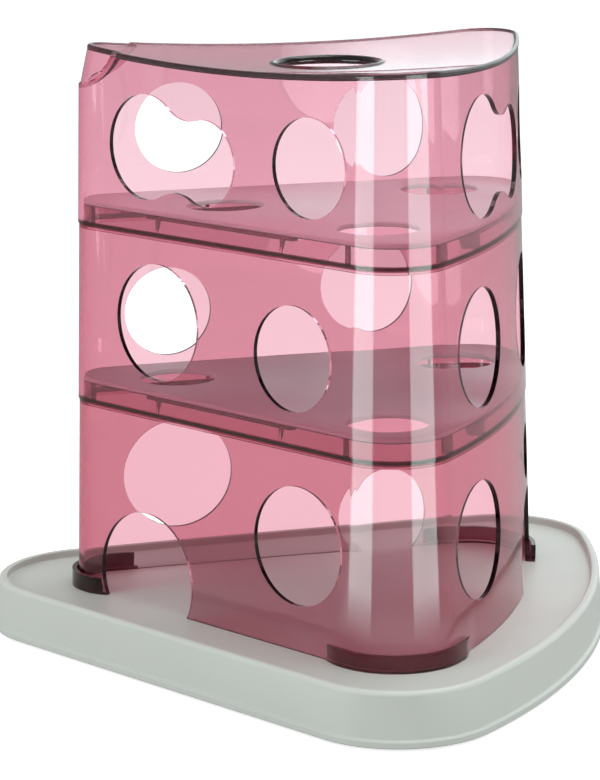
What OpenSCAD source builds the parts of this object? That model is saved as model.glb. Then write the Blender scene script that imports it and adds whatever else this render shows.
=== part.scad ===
// Cat activity tower: three clear tiers with paw holes and two drop shelves, stacked on a tray base.
// Millimetres, Z up, standing on Z = 0. The flat front face looks along -Y. A nearly flat face runs from the
// left corner to the apex corner at the back, and the right face between the wide corners is bowed.

/* [Tower plan] */
// Middle to the left corner's centre
tower_left = 106.3; // [98:0.1:114]
// Middle to the right corner's centre
tower_right = 102; // [92:1:112]
// Centre line to the right corner's centre
tower_front = 56; // [48:1:64]
// Middle to the apex corner's centre, across
tower_apex_x = 8.5; // [0:0.5:16]
// Centre line to the apex corner's centre
tower_apex = 107.7; // [98:0.1:118]
// Radius of the right and apex corners at the tower's foot
tower_corner_r = 35.5; // [30:0.5:42]
// Radius of the left corner at the tower's foot
tower_left_r = 25; // [20:0.5:32]
// Radius of the bowed right face at the tower's foot
tower_side_r = 430; // [350:10:800]
// Radius of the nearly flat left face at the tower's foot
tower_left_side_r = 3000; // [2000:100:4000]
// Inward lean of the walls, per millimetre of height
draft = 0.0315; // [0.01:0.0005:0.04]

/* [Tiers] */
// Lower tier's wall, tray floor to joint
lower_h = 110.7; // [100:0.1:125]
// Middle tier's wall, joint to joint
middle_h = 101.3; // [95:0.1:115]
// Upper joint to the lowest point of the dish
top_h = 91.5; // [88:0.5:105]
// Wall thickness of the clear tiers
wall = 2.6; // [2:0.1:3.5]
// How far an upper tier stands proud of the one below
joint_step = 0.6; // [0.2:0.1:1.2]
// Height of the neck that enters the tier above
neck_h = 10.5; // [8:0.5:14]
// Wall thickness of the neck
neck_wall = 2.2; // [1.6:0.1:3]
// Depth of the shoulder under each joint
shoulder_h = 3; // [2:0.5:5]
// Gap between a neck and the tier around it
neck_gap = 0.4; // [0.3:0.05:0.8]

/* [Neck stiffening] */
// Half length of the ledge inside each face
ledge_half = 57; // [45:1:64]
// How far the ledge sits to the left of the face's middle
ledge_shift = 2.5; // [0:0.5:6]
// How far the ledge reaches inwards
ledge_depth = 4; // [3:0.5:6]
// Thickness of the ledge
ledge_t = 2.4; // [1.6:0.1:3]
// Gussets under a ledge, from the ledge's middle
gusset_at = 48.5; // [35:0.5:54]
// Thickness of gussets and corner ribs
rib_t = 1.8; // [1.2:0.1:2.6]
// Corner rib at the left of the front face, from its middle
rib_left_at = 106; // [98:1:110]
// Other corner ribs, from the middle of their face
rib_at = 94; // [82:1:95]
// How far corner ribs reach inwards
rib_depth = 2.6; // [1.5:0.1:4]

/* [Paw holes] */
// Large round paw hole
large_hole_d = 65; // [52:1:68]
// Small round paw hole
small_hole_d = 57; // [44:1:60]
// Narrow round paw hole
narrow_hole_d = 52; // [42:1:56]
// Round hole in the top tier
top_hole_d = 53; // [42:1:56]
// Round hole beside the apex in the top tier's left face
apex_hole_d = 59; // [46:1:60]
// Peep hole above the right door
peep_hole_d = 32; // [20:1:34]
// Large lobe of the front two-lobed hole
lobe_big_d = 58; // [50:1:62]
// Small lobe of the front two-lobed hole
lobe_small_d = 47; // [40:1:50]
// Distance between the front hole's lobes
lobe_span = 46.5; // [42:0.5:48]
// Large lobe of the right two-lobed hole
right_lobe_big_d = 66; // [56:1:68]
// Small lobe of the right two-lobed hole
right_lobe_small_d = 51.5; // [44:0.5:54]
// Distance between the right hole's lobes
right_lobe_span = 58; // [50:0.5:59]
// Drop of the small lobe's centre
lobe_drop = 5; // [0:0.5:8]
// Fillet at the waist of the two-lobed holes
waist_r = 25; // [15:1:40]
// Width of the front and right doors
door_w = 75; // [60:1:78]
// Height of the front and right doors
door_h = 54; // [44:1:60]
// Width of the left door
left_door_w = 57; // [46:1:64]
// Height of the left door
left_door_h = 50; // [44:1:56]

/* [Top] */
// Radius of the dished top
dish_r = 1200; // [900:10:2000]
// Lowest point of the dish, across from the middle
dish_x = 3.5; // [0:0.5:8]
// Lowest point of the dish, in front of the centre line
dish_y = 3.5; // [0:0.5:8]
// Thickness of the dished top
dish_t = 2.6; // [2:0.1:3.5]
// Snack hole in the dish
snack_hole_d = 60; // [45:1:75]
// Radius of the rolled rim round the snack hole
snack_rim_r = 2.5; // [1.8:0.1:3.2]
// Depth of the grip recess at the rim
grip_depth = 4.8; // [3:0.1:6]
// Height of the grip recess
grip_h = 20; // [14:1:24]
// Half width of the grip recess at the rim
grip_half = 34; // [26:1:40]

/* [Shelves] */
// Thickness of the shelves
shelf_t = 2.8; // [2:0.1:4]
// Gap round a shelf
shelf_gap = 0.5; // [0.3:0.1:1.5]
// Drop holes in the shelves
drop_hole_d = 43; // [34:1:48]
// Lower shelf: right drop hole from the middle
lower_drop_x = 94.5; // [80:0.5:96]
// Lower shelf: right drop hole from the centre line
lower_drop_y = 52; // [40:1:54]
// Lower shelf: left drop hole from the middle
lower_drop_left = 71; // [60:1:76]
// Lower shelf: left drop hole from the centre line
lower_drop_left_y = 50; // [44:1:54]
// Lower shelf: apex drop hole from the middle
lower_drop_off = 16; // [8:1:20]
// Lower shelf: apex drop hole from the centre line
lower_drop_apex = 88; // [80:1:96]
// Upper shelf: right drop hole from the middle
upper_drop_x = 80.5; // [66:0.5:86]
// Upper shelf: right drop hole from the centre line
upper_drop_y = 44; // [32:1:48]
// Upper shelf: left drop hole from the middle
upper_drop_left = 38; // [34:1:60]
// Upper shelf: left drop hole from the centre line
upper_drop_left_y = 42.5; // [30:0.5:48]
// Upper shelf: apex drop hole from the middle
upper_drop_off = 11; // [4:1:16]
// Upper shelf: apex drop hole from the centre line
upper_drop_apex = 79; // [72:1:90]

/* [Foot lugs] */
// Height of the lug round each corner
lug_h = 9.5; // [6:0.5:12]
// Thickness of the lug
lug_t = 2.6; // [2:0.1:3.5]
// Gap between the lug and the wall
lug_gap = 1.2; // [0.8:0.1:2]
// Thickness of the web under the gap
lug_web = 1.6; // [1:0.1:2.5]
// How far a lug runs on past the corner's arc
lug_run = 5; // [2:0.5:12]

/* [Tray] */
// Centre line to the tray's apex corner centre
tray_apex = 144; // [138:1:150]
// Half the distance between the tray's front corner centres
tray_half = 122.5; // [116:0.5:128]
// Centre line to the line through the tray's front corner centres
tray_front = 75.5; // [71:0.5:80]
// Corner radius at the tray's foot
tray_corner_r = 57; // [52:1:64]
// Radius of the tray's bowed right side
tray_side_r = 402; // [340:1:600]
// Radius of the tray's nearly flat left side
tray_left_side_r = 3000; // [2000:100:4000]
// Height of the tray, pads excluded
tray_h = 29.5; // [26:0.5:40]
// Depth of the floor below the rim
tray_recess = 4.5; // [3.5:0.5:8]
// Thickness of the tray
tray_wall = 3; // [2.2:0.1:4]
// Height of the bead along the foot
bead_h = 4; // [2.5:0.5:7]
// How far the bead stands out
bead_out = 1.7; // [0.8:0.1:3]
// Inward lean of the skirt, per millimetre of height
skirt_draft = 0.06; // [0.02:0.01:0.12]
// Round-over on the rim
rim_round = 1.6; // [0.8:0.1:2.4]

/* [Foot pads] */
// Diameter of a rubber pad
pad_d = 18; // [12:1:24]
// How far the pads stand below the tray
pad_out = 1.5; // [1:0.5:4]
// How far the pads sit in their posts
pad_seat = 2; // [1:0.5:4]
// Wall of the post round a pad
post_wall = 2.5; // [2:0.5:4]

/* [Hidden] */
$fn = 120;
side_fn = 1440;
eps = 0.01;
bite = 0.05;
// Round corners stand this far proud of the tangent, so that faces cross instead of touching
blend = 0.05;
// How far the pieces of a plan reach into each other
overlap = 8;
front_face = 0;
right_face = 1;
left_face = 2;

// Plans as [left corner, right corner, apex corner, left corner's radius, radius of the other corners,
// right side's radius, left side's radius]
tower = [
  [-tower_left, tower_left_r - tower_corner_r - tower_front],
  [tower_right, -tower_front],
  [tower_apex_x, tower_apex],
  tower_left_r,
  tower_corner_r,
  tower_side_r,
  tower_left_side_r
];
tray = [
  [-tray_half, -tray_front],
  [tray_half, -tray_front],
  [0, tray_apex],
  tray_corner_r,
  tray_corner_r,
  tray_side_r,
  tray_left_side_r
];

// The part's box is centred on the origin
centre_y = (tray_front - tray_apex) / 2;

// Heights of the floor and the joints
floor_z = pad_out + tray_h - tray_recess;
joint_low = floor_z + lower_h;
joint_high = joint_low + middle_h;

// Insets of each tier's foot from the plan at the tower's foot
middle_inset = draft * lower_h - joint_step;
top_inset = middle_inset + draft * middle_h - joint_step;

// Lowest point of the dish, and from there past the farthest corner
dish_at = [dish_x, -dish_y];
dish_reach = max([for (corner = [0, 1, 2]) norm(tower[corner] - dish_at)]) + tower_corner_r + overlap;

// Paw holes as [face, along the face, height above the tier's foot, diameter]
lower_holes = [
  [front_face, 62, 57.5, large_hole_d],
  [right_face, -63, 56, large_hole_d],
  [right_face, 60, 76, peep_hole_d],
  [left_face, 64, 56.5, large_hole_d]
];
middle_holes = [
  [front_face, -48.5, 53, large_hole_d],
  [front_face, 57, 47.5, small_hole_d],
  [right_face, -54.5, 49, large_hole_d],
  [right_face, 55, 49, large_hole_d],
  [left_face, 69, 43.5, narrow_hole_d],
  [left_face, -51.5, 52.5, small_hole_d]
];
top_holes = [
  [front_face, 68.5, 48, top_hole_d],
  [right_face, 72, 46, top_hole_d],
  [left_face, 61, 49, narrow_hole_d],
  [left_face, -60.5, 44.5, apex_hole_d]
];
// Two-lobed holes as [face, big lobe along the face, its height, big diameter, small diameter, distance]
lobed_holes = [
  [front_face, -57.5, 48, lobe_big_d, lobe_small_d, lobe_span],
  [right_face, -44.5, 48.5, right_lobe_big_d, right_lobe_small_d, right_lobe_span]
];
// Arched doors as [face, along the face, width, height]
doors = [
  [front_face, -57.5, door_w, door_h],
  [right_face, 60, door_w, door_h],
  [left_face, -62, left_door_w, left_door_h]
];

// The left face touches two corners of unlike radius, so it stands askew to the line between them
left_skew = asin((tower_corner_r - tower_left_r) / norm(tower[0] - tower[2]));
left_turn = turn_of(tower[0] - tower[2]) + left_skew;
left_len = norm(tower[0] - tower[2]) * cos(left_skew);

// Frame of each face: a point on the line through its wide corner's centre, and its turn
face_mid = [
  [0, -tower_front],
  (tower[1] + tower[2]) / 2,
  tower[2] + left_len / 2 * [cos(left_turn), sin(left_turn)]
];
face_turn = [0, turn_of(tower[2] - tower[1]), left_turn];
face_reach = 2 * tower_corner_r;

function aim(from, to) = (to - from) / norm(to - from);
function turn_of(way) = atan2(way[1], way[0]);
function right_of(way) = [way[1], -way[0]];
function corner_r(p, corner) = corner == 0 ? p[3] : p[4];
// Centre of the arc that touches the corners round two points from inside
function bow_at(from, to, from_far, to_far) =
  let (
    gap = norm(to - from),
    along = (gap * gap + from_far * from_far - to_far * to_far) / (2 * gap),
    across = sqrt(from_far * from_far - along * along)
  )
  from + along * aim(from, to) - across * right_of(aim(from, to));

// Solid on a plan with a flat front, two bowed sides and three round corners
module plan_solid(p, inset, lean, h) {
  linear_extrude(h) polygon([p[0], p[1], p[2]]);
  for (corner = [0, 1, 2]) {
    foot_r = corner_r(p, corner) - inset;
    translate(p[corner]) cylinder(h = h, r1 = foot_r + blend, r2 = foot_r - lean * h + blend);
  }
  front_side(p, inset, lean, h);
  bowed_side(p, 1, 2, p[5], inset, lean, h);
  bowed_side(p, 2, 0, p[6], inset, lean, h);
}

module front_side(p, inset, lean, h) {
  foot_r = p[4] - inset;
  inner = p[4] - p[3] + overlap;
  translate([p[0][0], p[1][1], 0]) rotate([90, 0, 90]) linear_extrude(p[1][0] - p[0][0])
    polygon([[inner, 0], [inner, h], [lean * h - foot_r, h], [-foot_r, 0]]);
}

// Side between two corners, bowed with its own radius
module bowed_side(p, start, end, side_r, inset, lean, h) {
  from = p[start];
  to = p[end];
  middle = bow_at(from, to, side_r - corner_r(p, start), side_r - corner_r(p, end));
  inward = -overlap * right_of(aim(from, to));
  beyond = 2 * p[4] + overlap;
  intersection() {
    translate(middle) cylinder(h = h, r1 = side_r - inset, r2 = side_r - inset - lean * h, $fn = side_fn);
    linear_extrude(h) polygon([
      to + inward,
      from + inward,
      from,
      from + beyond * aim(middle, from),
      to + beyond * aim(middle, to),
      to
    ]);
  }
}

// Tower slice between two heights above a tier's foot
module slice(foot_inset, extra, low, high) {
  translate([0, 0, low]) plan_solid(tower, foot_inset + extra + draft * low, draft, high - low);
}

// A piece at its height, with the part centred
module placed(z) {
  translate([0, centre_y, z]) children();
}

module on_face(face) {
  translate(face_mid[face]) rotate(face_turn[face]) children();
}

module hole_cut(hole) {
  on_face(hole[0]) translate([hole[1], 0, hole[2]]) rotate([90, 0, 0]) cylinder(h = face_reach, d = hole[3]);
}

// Outline of a two-lobed hole, big lobe at the origin
module two_lobes(big, small, span) {
  second = [span, -lobe_drop];
  reach = norm(second);
  near = big + waist_r - bite;
  away = small + waist_r - bite;
  along = (reach * reach + near * near - away * away) / (2 * reach);
  up = sqrt(near * near - along * along);
  dir = second / reach;
  across = [-dir[1], dir[0]];
  circle(big);
  translate(second) circle(small);
  difference() {
    polygon([[0, 0], along * dir + up * across, second, along * dir - up * across]);
    translate(along * dir + up * across) circle(waist_r);
    translate(along * dir - up * across) circle(waist_r);
  }
}

module lobed_cut(hole) {
  on_face(hole[0]) translate([hole[1], 0, hole[2]]) rotate([90, 0, 0]) linear_extrude(face_reach)
    two_lobes(hole[3] / 2, hole[4] / 2, hole[5]);
}

module door_cut(door) {
  hole_cut([door[0], door[1], door[3] - door[2] / 2, door[2]]);
}

// Ring of tower plan between two insets
module band(foot_inset, outer, inner, low, high) {
  difference() {
    slice(foot_inset, outer, low, high);
    slice(foot_inset, inner, low - eps, high + eps);
  }
}

// Wall of a tier with the neck on top that enters the tier above and carries a shelf
module tier_shell(foot_inset, upper_inset, h) {
  outer = wall + neck_gap;
  difference() {
    union() {
      slice(foot_inset, 0, 0, h);
      translate([0, 0, h]) slice(upper_inset, outer, -shoulder_h, neck_h);
    }
    slice(foot_inset, wall, -eps, h - shoulder_h);
    translate([0, 0, h]) slice(upper_inset, outer + neck_wall, -shoulder_h - eps, neck_h + eps);
  }
}

module neck_ribs(upper_inset) {
  outer = wall + neck_gap;
  intersection() {
    slice(upper_inset, outer + neck_wall / 2, 0, neck_h);
    for (face = [front_face, right_face, left_face])
      on_face(face) stiffeners(upper_inset + outer + neck_wall, face == front_face ? rib_left_at : rib_at);
  }
  ledges(upper_inset);
}

// Ledge, gussets and corner ribs inside one face of a neck
module stiffeners(inset, left_at) {
  for (side = [-1, 1]) translate([side * gusset_at - ledge_shift, 0, 0]) gusset(inset);
  for (at = [-left_at, rib_at]) translate([at, 0, 0]) corner_rib(inset);
}

module gusset(inset) {
  translate([-rib_t / 2, 0, 0]) rotate([90, 0, 90]) linear_extrude(rib_t)
    polygon([[-face_reach, 0], [-face_reach, neck_h], [inset - tower_corner_r + ledge_depth, neck_h],
      [inset - tower_corner_r, 0]]);
}

module corner_rib(inset) {
  translate([-rib_t / 2, -face_reach, 0])
    cube([rib_t, face_reach - tower_corner_r + inset + rib_depth, neck_h]);
}

module ledges(upper_inset) {
  inner = wall + neck_gap + neck_wall;
  intersection() {
    band(upper_inset, inner - neck_wall / 2, inner + ledge_depth, neck_h - ledge_t, neck_h);
    for (face = [front_face, right_face, left_face]) on_face(face)
      translate([-ledge_half - ledge_shift, -face_reach, 0]) cube([2 * ledge_half, face_reach, neck_h]);
  }
}

// Curved lug outside each corner at the tower's foot
module foot_lugs() {
  intersection() {
    difference() {
      slice(0, -lug_gap - lug_t, 0, lug_h);
      slice(0, -lug_gap, lug_web, lug_h + eps);
      slice(0, wall / 2, -eps, lug_web + eps);
    }
    for (corner = [0, 1, 2]) translate(tower[corner])
      cylinder(h = lug_h, r = norm([corner_r(tower, corner) + lug_gap + lug_t, lug_run]));
  }
}

module base_tray() {
  color("gainsboro") placed(pad_out) {
    difference() {
      tray_outside();
      tray_hollow();
      tray_inside();
    }
    for (at = pad_places()) translate(at) pad_post();
  }
}

module tray_outside() {
  rim_inset = bead_out + skirt_draft * (tray_h - bead_h - rim_round) + rim_round;
  intersection() {
    union() {
      plan_solid(tray, 0, 0, bead_h);
      plan_solid(tray, bead_out - skirt_draft * bead_h, skirt_draft, tray_h);
    }
    plan_solid(tray, rim_inset - tray_h, 1, tray_h);
  }
}

// Space above the floor
module tray_inside() {
  inset = bead_out + skirt_draft * tray_h + rim_round + tray_wall;
  translate([0, 0, tray_h - tray_recess]) plan_solid(tray, inset, -skirt_draft, tray_recess + eps);
}

// Space under the floor
module tray_hollow() {
  translate([0, 0, -eps])
    plan_solid(tray, bead_out + tray_wall, skirt_draft, tray_h - tray_recess - tray_wall + eps);
}

function pad_places() = [tray[0], tray[1], tray[2]];

module pad_post() {
  difference() {
    cylinder(h = tray_h - tray_recess - tray_wall / 2, d = pad_d + 2 * post_wall);
    translate([0, 0, -eps]) cylinder(h = pad_seat + eps, d = pad_d);
  }
}

module foot_pads() {
  color("dimgray") placed(0) for (at = pad_places())
    translate(at) cylinder(h = pad_out + pad_seat, d = pad_d);
}

module lower_tier() {
  color([0.86, 0.55, 0.64]) placed(floor_z) {
    difference() {
      union() {
        tier_shell(0, middle_inset, lower_h);
        foot_lugs();
      }
      for (hole = lower_holes) hole_cut(hole);
      for (door = doors) door_cut(door);
    }
    translate([0, 0, lower_h]) neck_ribs(middle_inset);
  }
}

module middle_tier() {
  color([0.9, 0.6, 0.68]) placed(joint_low) {
    difference() {
      tier_shell(middle_inset, top_inset, middle_h);
      for (hole = middle_holes) hole_cut(hole);
    }
    translate([0, 0, middle_h]) neck_ribs(top_inset);
  }
}

module top_tier() {
  rise = 2 * dish_t + pow(dish_reach, 2) / (2 * dish_r);
  color([0.92, 0.66, 0.73]) placed(joint_high) {
    difference() {
      slice(top_inset, 0, 0, top_h + rise);
      dish_cut(top_h);
      grip_cut(0);
      difference() {
        slice(top_inset, wall, -eps, top_h + rise);
        dish_cut(top_h - dish_t);
        grip_cut(wall);
      }
      translate(dish_at) cylinder(h = top_h + rise, d = snack_hole_d);
      for (hole = top_holes) hole_cut(hole);
      for (hole = lobed_holes) lobed_cut(hole);
    }
    translate(dish_at) translate([0, 0, top_h - dish_t / 2]) rotate_extrude()
      translate([snack_hole_d / 2, 0]) circle(snack_rim_r);
  }
}

// Space above the dish
module dish_cut(low) {
  translate(dish_at) translate([0, 0, low]) rotate_extrude() intersection() {
    translate([0, dish_r]) circle(dish_r, $fn = side_fn);
    square([dish_reach, dish_reach / 2]);
  }
}

// Finger recess at the left front corner, its floor leaning in towards the rim
module grip_cut(skin) {
  rim_z = top_h + pow(norm(tower[0] - dish_at), 2) / (2 * dish_r);
  over = (grip_half * grip_half - grip_h * grip_h) / (2 * grip_h);
  out = aim([0, 0], [-1, -1]);
  corner = tower[0] + out * (tower_left_r - top_inset - draft * top_h);
  low = rim_z - grip_h - 2 * wall;
  lean = grip_depth / (rim_z - low);
  difference() {
    translate([corner[0], corner[1], rim_z + over]) rotate([90, 0, 0]) sphere(grip_h + over + skin);
    translate([0, 0, low])
      plan_solid(tower, top_inset + draft * low + skin, draft + lean, 2 * grip_h);
  }
}

module drop_shelf(upper_inset, places) {
  low = neck_h;
  difference() {
    slice(upper_inset, wall + shelf_gap + draft * shelf_t, low, low + shelf_t);
    for (at = places) translate([at[0], at[1], 0]) cylinder(h = 3 * neck_h, d = drop_hole_d);
  }
}

module lower_shelf() {
  color("darkgray") placed(joint_low)
    drop_shelf(middle_inset, [
      [lower_drop_x, -lower_drop_y],
      [-lower_drop_left, -lower_drop_left_y],
      [lower_drop_off, lower_drop_apex]
    ]);
}

module upper_shelf() {
  color("darkgray") placed(joint_high)
    drop_shelf(top_inset, [
      [upper_drop_x, -upper_drop_y],
      [-upper_drop_left, -upper_drop_left_y],
      [upper_drop_off, upper_drop_apex]
    ]);
}

base_tray();
foot_pads();
lower_tier();
lower_shelf();
middle_tier();
upper_shelf();
top_tier();
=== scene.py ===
import math

import bmesh
import bpy
from mathutils import Matrix, Vector


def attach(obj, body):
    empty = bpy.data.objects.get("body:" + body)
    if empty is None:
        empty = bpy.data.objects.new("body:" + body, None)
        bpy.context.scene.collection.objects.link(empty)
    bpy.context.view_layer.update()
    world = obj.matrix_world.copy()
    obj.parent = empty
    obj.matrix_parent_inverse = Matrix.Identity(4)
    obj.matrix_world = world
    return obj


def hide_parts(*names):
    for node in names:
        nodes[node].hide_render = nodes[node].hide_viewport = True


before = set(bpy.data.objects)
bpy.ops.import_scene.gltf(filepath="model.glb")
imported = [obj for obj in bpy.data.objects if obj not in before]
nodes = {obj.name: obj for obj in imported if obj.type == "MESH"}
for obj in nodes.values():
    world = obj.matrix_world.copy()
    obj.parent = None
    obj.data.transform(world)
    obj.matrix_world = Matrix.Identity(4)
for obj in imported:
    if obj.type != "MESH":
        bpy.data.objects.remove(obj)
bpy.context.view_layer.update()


class Wire:
    def __init__(self, graph, socket):
        self.graph = graph
        self.socket = socket

    def maths(self, operation, first, second):
        return self.graph.node("ShaderNodeMath", {"operation": operation}, {0: first, 1: second})

    def __add__(self, other):
        return self.maths("ADD", self, other)

    __radd__ = __add__

    def __sub__(self, other):
        return self.maths("SUBTRACT", self, other)

    def __rsub__(self, other):
        return self.maths("SUBTRACT", other, self)

    def __mul__(self, other):
        return self.maths("MULTIPLY", self, other)

    __rmul__ = __mul__

    def above(self, other):
        return self.maths("MAXIMUM", self, other)


class Graph:
    def __init__(self, tree):
        self.tree = tree

    def node(self, kind, settings=None, inputs=None, output=0):
        made = self.tree.nodes.new(kind)
        for name, value in (settings or {}).items():
            setattr(made, name, value)
        for name, value in (inputs or {}).items():
            if isinstance(value, Wire):
                self.tree.links.new(value.socket, made.inputs[name])
            else:
                made.inputs[name].default_value = value
        return Wire(self, made.outputs[output])

    def place(self, output="Object"):
        return self.node("ShaderNodeTexCoord", output=output)

    def axis(self, vector, letter):
        return self.node("ShaderNodeSeparateXYZ", None, {0: vector}, letter)

    def noise(self, scale, detail):
        return self.node("ShaderNodeTexNoise", None,
            {"Vector": self.place(), "Scale": scale, "Detail": detail})

    def ramp(self, value, low, high, start, end):
        return self.node("ShaderNodeMapRange", {"clamp": True},
            {"Value": value, "From Min": low, "From Max": high, "To Min": start, "To Max": end})

    def stripe(self, value, low, high, soft):
        begin = self.ramp(value, low - soft, low + soft, 0, 1)
        return begin * self.ramp(value, high - soft, high + soft, 1, 0)

    def turn(self, across, along):
        return self.node("ShaderNodeMath", {"operation": "ARCTAN2"}, {0: along, 1: across})

    def blend(self, share, first, second):
        return self.node("ShaderNodeMix", {"data_type": "RGBA"}, {0: share, 6: first, 7: second}, 2)

    def ray(self, kind):
        return self.node("ShaderNodeLightPath", output=kind)


def newMaterial(name):
    made = bpy.data.materials.new(name)
    made.use_nodes = True
    made.node_tree.nodes.clear()
    graph = Graph(made.node_tree)
    end = made.node_tree.nodes.new("ShaderNodeOutputMaterial")
    return made, graph, end


def takeOnly(piece):
    bpy.ops.object.select_all(action="DESELECT")
    piece.select_set(True)
    bpy.context.view_layer.objects.active = piece


copySpec = {"weld": 0.000002, "crease": 30}


# a copy of a moulded part, its triangles merged and its creases kept
def copyPart(nodeName, pieceName):
    piece = bpy.data.objects.new(pieceName, nodes[nodeName].data.copy())
    bpy.context.scene.collection.objects.link(piece)
    takeOnly(piece)
    bpy.ops.object.mode_set(mode="EDIT")
    bpy.ops.mesh.select_all(action="SELECT")
    bpy.ops.mesh.customdata_custom_splitnormals_clear()
    bpy.ops.mesh.remove_doubles(threshold=copySpec["weld"])
    bpy.ops.object.mode_set(mode="OBJECT")
    bpy.ops.object.shade_smooth_by_angle(angle=math.radians(copySpec["crease"]))
    piece.data.materials.clear()
    return piece


# faces of small smooth regions are cut edges, ledges, ribs and lugs; they are marked for painted shade
def markEdgeShade(piece, biggest, clearAt):
    bend = math.radians(copySpec["crease"])
    mesh = bmesh.new()
    mesh.from_mesh(piece.data)
    mesh.faces.ensure_lookup_table()
    region = [-1] * len(mesh.faces)
    middles = [face.calc_center_median() for face in mesh.faces]
    areas = []
    for first in mesh.faces:
        if region[first.index] >= 0:
            continue
        number = len(areas)
        total = 0
        waiting = [first]
        region[first.index] = number
        while waiting:
            face = waiting.pop()
            total += face.calc_area()
            for edge in face.edges:
                if len(edge.link_faces) != 2 or edge.calc_face_angle() > bend:
                    continue
                for other in edge.link_faces:
                    if region[other.index] < 0:
                        region[other.index] = number
                        waiting.append(other)
        areas.append(total)
    mesh.free()
    values = []
    for number, middle in zip(region, middles):
        clear = any((middle - Vector(place)).length < reach for place, reach in clearAt)
        values.append(1.0 if areas[number] < biggest and not clear else 0.0)
    share = piece.data.attributes.new("cutEdgeShade", "FLOAT", "FACE")
    share.data.foreach_set("value", values)


# clear rose plastic, one density for each tier, with painted shade on cut edges; dark holds (low, high,
# share) of painted shade bands at joint lines and necks
roseSpec = {
    "ior": 1.49,
    "haze": (9, 3),
    "clear": [(0.985, 0.965, 0.97, 1), (1, 0.99, 0.99, 1)],
    "rough": (0.01, 0.03),
    "lineSoft": 0.0002,
    "edgeShadeTone": (0.13, 0.035, 0.048, 1),
    "lampTone": (0.94, 0.80, 0.84, 1),
    "biggestEdge": 0.003,
    "tiers": {
        "top_tier": {
            "piece": "topShell", "body": "top", "tint": (0.75, 0.19, 0.365, 1), "density": 250.0,
            "dark": [(0.2385, 0.2400, 1)],
            "clearAt": [((-0.118, -0.115, 0.33), 0.045)],  # grip recess
        },
        "middle_tier": {
            "piece": "middleShell", "body": "middle", "tint": (0.70, 0.165, 0.32, 1), "density": 330.0,
            "dark": [(0.1372, 0.1388, 1), (0.2372, 0.2385, 1), (0.2385, 0.2490, 0.22)],
            "clearAt": [],
        },
        "lower_tier": {
            "piece": "lowerShell", "body": "lower", "tint": (0.69, 0.165, 0.305, 1), "density": 390.0,
            "dark": [(0.1359, 0.1372, 1), (0.1372, 0.1477, 0.22)],
            "clearAt": [],
        },
    },
}


def clearRose(tier):
    spec = roseSpec["tiers"][tier]
    made, graph, end = newMaterial("clearRose_" + tier)
    haze = graph.noise(*roseSpec["haze"])
    clear = graph.blend(haze, *roseSpec["clear"])
    # painted shade: cut edges, lugs, joint lines and necks are darkened in colour, standing in for the dark
    # look light gives clear plastic edges
    edge = graph.node("ShaderNodeAttribute", {"attribute_name": "cutEdgeShade"}, None, "Fac")
    height = graph.axis(graph.place(), "Z")
    for low, high, share in spec["dark"]:
        edge = edge.above(graph.stripe(height, low, high, roseSpec["lineSoft"]) * share)
    tone = graph.blend(edge, clear, roseSpec["edgeShadeTone"])
    shine = graph.ramp(haze, 0.3, 0.7, *roseSpec["rough"])
    plastic = graph.node("ShaderNodeBsdfPrincipled", None, {
        "Base Color": tone, "Roughness": shine, "IOR": roseSpec["ior"], "Transmission Weight": 1.0})
    lampPass = graph.node("ShaderNodeBsdfTransparent", None, {"Color": roseSpec["lampTone"]})
    mixed = graph.node("ShaderNodeMixShader", None,
        {0: graph.ray("Is Shadow Ray"), 1: plastic, 2: lampPass})  # soft shadows through the walls
    inside = graph.node("ShaderNodeVolumeAbsorption", None,
        {"Color": spec["tint"], "Density": spec["density"]})
    graph.tree.links.new(mixed.socket, end.inputs["Surface"])
    graph.tree.links.new(inside.socket, end.inputs["Volume"])
    return made


def makeTier(tier):
    spec = roseSpec["tiers"][tier]
    piece = copyPart(tier, spec["piece"])
    markEdgeShade(piece, roseSpec["biggestEdge"], spec["clearAt"])
    piece.data.materials.append(clearRose(tier))
    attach(piece, spec["body"])
    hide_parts(tier)
    return piece


tierPieces = {tier: makeTier(tier) for tier in roseSpec["tiers"]}
print("tiers made")

# rounded rim along the dish's outer edge, with painted shade along it
rimSpec = {
    "radius": 0.0015,
    "rounds": 3,
    "middle": (0.0035, -0.0378),
    "clear": 0.06,  # leaves the snack hole's own rim out
    "above": 0.322,
    "upTilt": 0.9,
    "sideTilt": 0.6,
    "sink": 0.0007,
    "shrink": 0.992,
    "rimShade": 0.35,
}


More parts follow.
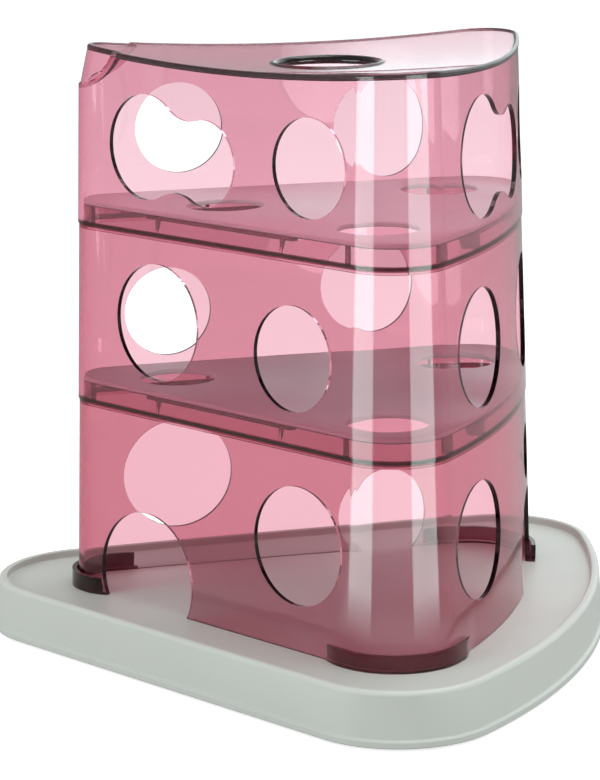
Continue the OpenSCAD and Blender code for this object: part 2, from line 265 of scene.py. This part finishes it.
def makeRim():
    piece = copyPart("top_tier", "dishRim")
    mesh = bmesh.new()
    mesh.from_mesh(piece.data)
    middle = Vector(rimSpec["middle"])
    rim = set()
    for edge in mesh.edges:
        tilts = sorted(face.normal.z for face in edge.link_faces)
        place = (edge.verts[0].co + edge.verts[1].co) / 2
        outer = (place.xy - middle).length > rimSpec["clear"] and place.z > rimSpec["above"]
        if outer and tilts[1] > rimSpec["upTilt"] and tilts[0] < rimSpec["sideTilt"]:
            rim.add(edge)
    bmesh.ops.delete(mesh, geom=[edge for edge in mesh.edges if edge not in rim], context="EDGES")
    bmesh.ops.delete(mesh, geom=[point for point in mesh.verts if not point.link_edges], context="VERTS")
    mesh.to_mesh(piece.data)
    mesh.free()
    takeOnly(piece)
    bpy.ops.object.convert(target="CURVE")
    piece.data.bevel_depth = rimSpec["radius"]
    piece.data.bevel_resolution = rimSpec["rounds"]
    bpy.ops.object.convert(target="MESH")
    bpy.ops.object.mode_set(mode="EDIT")
    bpy.ops.mesh.select_all(action="SELECT")
    bpy.ops.transform.translate(value=(0, 0, -rimSpec["sink"]))
    narrow = rimSpec["shrink"]
    bpy.ops.transform.resize(value=(narrow, narrow, 1), center_override=(middle.x, middle.y, 0))
    bpy.ops.object.mode_set(mode="OBJECT")
    bpy.ops.object.shade_smooth()
    # painted shade on every face of the rim, read by the tier's material
    share = piece.data.attributes.new("cutEdgeShade", "FLOAT", "FACE")
    share.data.foreach_set("value", [rimSpec["rimShade"]] * len(piece.data.polygons))
    piece.data.materials.clear()
    piece.data.materials.append(tierPieces["top_tier"].data.materials[0])
    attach(piece, "top")
    print("rim made,", len(rim), "edges", len(piece.data.polygons), "faces")


makeRim()

satinSpec = {
    "tray": {"light": (0.56, 0.60, 0.56, 1), "dark": (0.52, 0.56, 0.525, 1), "rough": 0.36, "grain": 0.08},
    "shelf": {"light": (0.51, 0.485, 0.50, 1), "dark": (0.46, 0.435, 0.45, 1), "rough": 0.34, "grain": 0.05},
    "pad": {"light": (0.02, 0.02, 0.02, 1), "dark": (0.03, 0.03, 0.03, 1), "rough": 0.7, "grain": 0.2},
}
mottleSpec = {"mottle": (14, 4), "grain": (1400, 2), "grainHeight": 0.0002, "roughSpread": 0.08}


# satin moulded plastic with a fine spark-eroded grain
def satinPlastic(name):
    spec = satinSpec[name]
    made, graph, end = newMaterial(name + "Satin")
    mottle = graph.noise(*mottleSpec["mottle"])
    tone = graph.blend(mottle, spec["light"], spec["dark"])
    grain = graph.noise(*mottleSpec["grain"])
    bump = graph.node("ShaderNodeBump", None,
        {"Strength": spec["grain"], "Distance": mottleSpec["grainHeight"], "Height": grain})
    rough = graph.ramp(mottle, 0.3, 0.7, spec["rough"], spec["rough"] + mottleSpec["roughSpread"])
    shell = graph.node("ShaderNodeBsdfPrincipled", None,
        {"Base Color": tone, "Roughness": rough, "Normal": bump})
    graph.tree.links.new(shell.socket, end.inputs["Surface"])
    return made


finishes = {name: satinPlastic(name) for name in satinSpec}

# tray and shelves with softly rounded edges
softSpec = {
    "base_tray": {"piece": "trayShell", "body": "base", "finish": "tray", "round": 0.0012},
    "lower_shelf": {"piece": "lowerDropShelf", "body": "shelf_low", "finish": "shelf", "round": 0.0008},
    "upper_shelf": {"piece": "upperDropShelf", "body": "shelf_high", "finish": "shelf", "round": 0.0008},
}
roundSpec = {"flat": 0.4, "segments": 3, "sharp": 28, "smooth": 40}


def makeSoft(nodeName):
    spec = softSpec[nodeName]
    piece = copyPart(nodeName, spec["piece"])
    bpy.ops.object.mode_set(mode="EDIT")
    bpy.ops.mesh.select_all(action="SELECT")
    bpy.ops.mesh.dissolve_limited(angle_limit=math.radians(roundSpec["flat"]))
    bpy.ops.object.mode_set(mode="OBJECT")
    rounding = piece.modifiers.new("edgeRound", "BEVEL")
    rounding.width = spec["round"]
    rounding.segments = roundSpec["segments"]
    rounding.limit_method = "ANGLE"
    rounding.angle_limit = math.radians(roundSpec["sharp"])
    rounding.use_clamp_overlap = True
    bpy.ops.object.modifier_apply(modifier="edgeRound")
    bpy.ops.object.mode_set(mode="EDIT")
    bpy.ops.mesh.select_all(action="SELECT")
    bpy.ops.mesh.quads_convert_to_tris(quad_method="BEAUTY", ngon_method="BEAUTY")
    bpy.ops.object.mode_set(mode="OBJECT")
    bpy.ops.object.shade_smooth_by_angle(angle=math.radians(roundSpec["smooth"]))
    evening = piece.modifiers.new("evenNormals", "WEIGHTED_NORMAL")
    evening.keep_sharp = True
    bpy.ops.object.modifier_apply(modifier="evenNormals")
    piece.data.materials.append(finishes[spec["finish"]])
    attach(piece, spec["body"])
    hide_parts(nodeName)


for nodeName in softSpec:
    makeSoft(nodeName)
nodes["foot_pads"].data.materials.clear()
nodes["foot_pads"].data.materials.append(finishes["pad"])
print("tray, shelves and pads dressed")

# floor, world and lamps
stageSpec = {
    "floorSize": 40,
    "floorTone": (0.5, 0.5, 0.5, 1),
    "floorGlow": 0.78,
    "worldTone": (0.5, 0.5, 0.5, 1),
    "glossTone": (0.46, 0.42, 0.43, 1),
    "glossCard": (72, 134.6, 0.01),
    "cardTone": (1.2, 1.32, 1.34, 1),
    "corner": (0.102, -0.090),
    "strips": [(-128, -87), (-16, 33)],
    "stripGlow": 6.5,
    "stripSoft": 0.03,
    "stripTone": (0.8, 1, 0.97, 1),
    "stripFrom": (0.04, 0.10),  # squared distance from the corner
    "aim": (0, 0, 0.15),
    "lamps": [
        {"name": "leftSoftbox", "turn": -107, "distance": 2.2, "height": 0.9,
            "size": (1.5, 1.6), "power": 26, "gloss": False},
        {"name": "rightSoftbox", "turn": 14, "distance": 2.2, "height": 0.9,
            "size": (1.6, 1.6), "power": 17, "gloss": False},
        {"name": "topSoftbox", "turn": 60, "distance": 0.6, "height": 2.4,
            "size": (2, 2), "power": 34, "gloss": True},
    ],
}


# white to the camera and through the glass, one pale card for the gloss on the dish
def setWorld():
    world = bpy.data.worlds.new("studioWorld")
    bpy.context.scene.world = world
    world.use_nodes = True
    world.node_tree.nodes.clear()
    graph = Graph(world.node_tree)
    way = graph.place("Generated")
    turn = graph.turn(graph.axis(way, "X"), graph.axis(way, "Y"))
    low, high, soft = stageSpec["glossCard"]
    card = graph.stripe(turn, math.radians(low), math.radians(high), soft)
    gloss = graph.blend(card, stageSpec["glossTone"], stageSpec["cardTone"])
    tone = graph.blend(graph.ray("Is Glossy Ray"), stageSpec["worldTone"], gloss)
    shown = graph.ray("Is Camera Ray").above(graph.ray("Is Transmission Ray"))
    sky = graph.node("ShaderNodeBackground", None, {"Color": graph.blend(shown, tone, (1, 1, 1, 1))})
    end = world.node_tree.nodes.new("ShaderNodeOutputWorld")
    graph.tree.links.new(sky.socket, end.inputs["Surface"])


# paper floor, with two pale cards' sheen on it for the strips along the front corner
def setFloor():
    bpy.ops.object.select_all(action="DESELECT")
    bpy.ops.mesh.primitive_plane_add(size=stageSpec["floorSize"], location=(0, 0, 0))
    floor = bpy.context.object
    floor.name = "studioFloor"
    made, graph, end = newMaterial("floorPaper")
    paper = graph.node("ShaderNodeBsdfDiffuse", None, {"Color": stageSpec["floorTone"]})
    place = graph.place()
    across, along = (graph.axis(place, letter) - start for letter, start in zip("XY", stageSpec["corner"]))
    turn = graph.turn(across, along)
    cards = 0
    for low, high in stageSpec["strips"]:
        cards = cards + graph.stripe(turn, math.radians(low), math.radians(high), stageSpec["stripSoft"])
    far = graph.ramp(across * across + along * along, *stageSpec["stripFrom"], 0, 1)
    cards = cards * stageSpec["stripGlow"] * far
    through = graph.ray("Is Transmission Ray")
    gloss = graph.ray("Is Glossy Ray") * (1 - through)  # rough glass marks both
    shown = graph.ray("Is Camera Ray").above(through)
    strength = shown * stageSpec["floorGlow"] + gloss * cards
    tone = graph.blend(gloss, (1, 1, 1, 1), stageSpec["stripTone"])
    glow = graph.node("ShaderNodeEmission", None, {"Color": tone, "Strength": strength})
    both = graph.node("ShaderNodeAddShader", None, {0: paper, 1: glow})
    graph.tree.links.new(both.socket, end.inputs["Surface"])
    floor.data.materials.append(made)


def setLamps():
    aim = Vector(stageSpec["aim"])
    for spec in stageSpec["lamps"]:
        turn = math.radians(spec["turn"])
        data = bpy.data.lights.new(spec["name"], "AREA")
        data.shape = "RECTANGLE"
        data.size, data.size_y = spec["size"]
        data.energy = spec["power"]
        lamp = bpy.data.objects.new(spec["name"], data)
        lamp.visible_glossy = spec["gloss"]
        away = spec["distance"]
        lamp.location = (away * math.cos(turn), away * math.sin(turn), spec["height"])
        lamp.rotation_euler = (aim - lamp.location).to_track_quat("-Z", "Y").to_euler()
        bpy.context.scene.collection.objects.link(lamp)


cameraSpec = {
    "place": (1.1263, -1.17615, 0.5026),
    "look": (-0.6925, 0.6880, -0.2168),
    "side": (0.7048, 0.7094, 0.0),
    "roll": -0.0116,
    "lens": 134.69,
    "shift": (-0.0022, -0.0022),
    "clipStart": 0.05,
}


def setCamera():
    data = bpy.data.cameras.new("photoCamera")
    data.lens = cameraSpec["lens"]
    data.shift_x, data.shift_y = cameraSpec["shift"]
    data.clip_start = cameraSpec["clipStart"]
    camera = bpy.data.objects.new("photoCamera", data)
    look = Vector(cameraSpec["look"]).normalized()
    side = Vector(cameraSpec["side"])
    side = (side - look * side.dot(look)).normalized()
    up = side.cross(look)
    roll = cameraSpec["roll"]
    right = side * math.cos(roll) + up * math.sin(roll)
    up = right.cross(look)
    turn = Matrix((right, up, -look)).transposed().to_4x4()
    camera.matrix_world = Matrix.Translation(cameraSpec["place"]) @ turn
    bpy.context.scene.collection.objects.link(camera)
    bpy.context.scene.camera = camera


setWorld()
setFloor()
setLamps()
setCamera()
bpy.context.scene.view_settings.view_transform = "Standard"
print("stage set")
